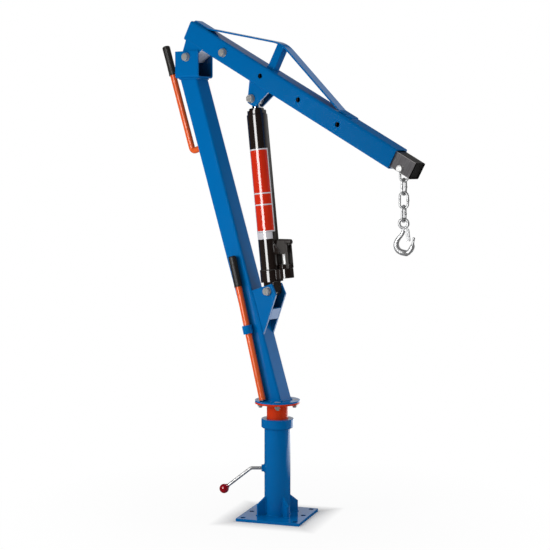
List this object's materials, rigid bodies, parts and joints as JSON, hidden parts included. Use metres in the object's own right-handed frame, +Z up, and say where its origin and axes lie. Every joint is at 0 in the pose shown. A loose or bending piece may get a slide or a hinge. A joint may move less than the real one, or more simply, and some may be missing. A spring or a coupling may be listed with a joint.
{
  "type": "slewing crane",
  "caption": "Bolt-down slewing crane: leaning box mast on a turning pedestal, luffing telescopic boom raised by a hand-pumped jack, chain and latch hook.",
  "frame": {"origin": "centre of the base plate's underside, on the slewing axis", "axes": "+Z up along the slewing axis, +X along the boom from mast to hook, +Y to the left of the boom"},
  "size_m": [1.0459, 0.2794, 1.6984],
  "materials": {
    "blue_paint": "gloss paint",
    "red_paint": "gloss paint",
    "orange_paint": "gloss paint",
    "black_paint": "gloss black paint",
    "zinc": "bright zinc plate",
    "bare_steel": "drawn steel",
    "galvanised": "bright galvanised",
    "chrome": "polished chrome",
    "bronze": "machined",
    "black_rubber": "moulded",
    "black_plastic": "moulded",
    "white_nylon": "moulded",
    "red_ball": "polished"
  },
  "bodies": {
    "pedestal": {"base_plate": "blue_paint", "gussets": "blue_paint", "pedestal_tube": "blue_paint", "collar": "blue_paint", "slew_bushes": "bronze", "thrust_disc": "zinc", "thrust_washer": "bronze", "lock_boss": "blue_paint"},
    "lock_lever": {"lock_screw": "zinc", "lock_knob": "red_ball"},
    "mast": {"pivot_tube": "red_paint", "pivot_flange": "red_paint", "mast_flange": "blue_paint", "flange_screws": "zinc", "flange_nuts": "zinc", "mast_tube": "blue_paint", "mast_head": "blue_paint", "jack_cheeks": "blue_paint", "cheek_spacer": "blue_paint", "handle_clip": "blue_paint", "slew_handle": "orange_paint", "slew_grip": "black_rubber", "pivot_bolt": "zinc", "foot_bolt": "zinc", "mast_nuts": "zinc"},
    "boom": {"boom_tube": "blue_paint", "boom_rear_tube": "blue_paint", "pivot_bracket": "blue_paint", "pivot_sleeve": "zinc", "jack_bracket": "blue_paint", "stay_strap": "blue_paint", "stay_strut": "blue_paint", "lock_bolt": "zinc", "ram_bolt": "zinc", "boom_nuts": "zinc", "mouth_pads": "black_plastic"},
    "inner_boom": {"inner_boom": "bare_steel", "tail_pads": "white_nylon", "end_cap": "black_plastic", "chain_pin": "zinc"},
    "link_1": {"chain_link_1": "galvanised"},
    "link_2": {"chain_link_2": "galvanised"},
    "link_3": {"chain_link_3": "galvanised"},
    "link_4": {"chain_link_4": "galvanised"},
    "hook": {"hook": "galvanised", "latch_pin": "galvanised"},
    "latch": {"hook_latch": "galvanised"},
    "jack": {"jack_base": "black_paint", "jack_cylinder": "black_paint", "pressure_tube": "bare_steel", "jack_gland": "black_paint", "pump_barrel": "black_paint", "pump_fulcrum": "black_paint"},
    "ram": {"ram": "chrome", "ram_eye": "chrome"},
    "pump_arm": {"pump_arm": "black_paint"},
    "pump_plunger": {"pump_plunger": "chrome"},
    "release_valve": {"release_valve": "zinc"},
    "pump_lever": {"pump_lever": "orange_paint", "lever_grip": "black_rubber"}
  },
  "joints": [
    {"name": "slew", "type": "hinge", "parent": "pedestal", "child": "mast", "pos_m": [0, 0, 0.404], "axis": [0, 0, 1], "continuous": true},
    {"name": "slew_lock", "type": "hinge", "parent": "pedestal", "child": "lock_lever", "pos_m": [0, 0, 0.168], "axis": [-0.809, -0.5878, 0], "range_deg": [0, 180]},
    {"name": "luff", "type": "hinge", "parent": "mast", "child": "boom", "pos_m": [-0.35611, 0, 1.572], "axis": [0, -1, 0], "range_deg": [0, 65]},
    {"name": "extension", "type": "slide", "parent": "boom", "child": "inner_boom", "axis": [0.8801, 0, -0.4749], "range_m": [0, 0.525]},
    {"name": "jack_tilt", "type": "hinge", "parent": "mast", "child": "jack", "pos_m": [-0.01869, 0, 0.7754], "axis": [0, -1, 0], "range_deg": [-1.07, 0]},
    {"name": "ram", "type": "slide", "parent": "jack", "child": "ram", "axis": [-0.1109, 0, 0.9938], "range_m": [0, 0.32966]},
    {"name": "pump_stroke", "type": "hinge", "parent": "jack", "child": "pump_arm", "pos_m": [0.01113, 0, 0.90954], "axis": [0, 1, 0], "range_deg": [0, 30]},
    {"name": "plunger", "type": "slide", "parent": "jack", "child": "pump_plunger", "axis": [0.1109, 0, -0.9938], "range_m": [0, 0.00941]},
    {"name": "release", "type": "hinge", "parent": "jack", "child": "release_valve", "pos_m": [0.00978, 0.02, 0.83493], "axis": [0, 1, 0], "range_deg": [0, 180]},
    {"name": "lever_lift", "type": "slide", "parent": "mast", "child": "pump_lever", "axis": [-0.2554, 0, 0.9668], "range_m": [0, 0.3]},
    {"name": "chain_1", "type": "hinge", "parent": "inner_boom", "child": "link_1", "pos_m": [0.49017, 0, 1.19037], "axis": [0, -1, 0], "range_deg": [-68, 10]},
    {"name": "chain_2", "type": "hinge", "parent": "link_1", "child": "link_2", "pos_m": [0.49017, 0, 1.14992], "axis": [0.9903, 0.1392, 0], "range_deg": [-40, 40]},
    {"name": "chain_3", "type": "hinge", "parent": "link_2", "child": "link_3", "pos_m": [0.49017, 0, 1.10722], "axis": [-0.0523, 0.9986, 0], "range_deg": [-40, 40]},
    {"name": "chain_4", "type": "hinge", "parent": "link_3", "child": "link_4", "pos_m": [0.49017, 0, 1.06452], "axis": [0.9563, 0.2924, 0], "range_deg": [-40, 40]},
    {"name": "hook_swing", "type": "hinge", "parent": "link_4", "child": "hook", "pos_m": [0.49017, 0, 1.02182], "axis": [-0.1219, 0.9925, 0], "range_deg": [-40, 40]},
    {"name": "latch", "type": "hinge", "parent": "hook", "child": "latch", "pos_m": [0.50144, 0.0041, 0.99427], "axis": [-0.342, 0.9397, 0], "range_deg": [0, 35], "stiffness_Nm_per_rad": 0.02, "springref_deg": -22.92}
  ],
  "couplings": [
    {"joint": "jack_tilt", "follows": "luff", "ratio": -0.016214},
    {"joint": "ram", "follows": "luff", "m_per_rad": 0.28771},
    {"joint": "plunger", "follows": "pump_stroke", "m_per_rad": 0.017795}
  ]
}
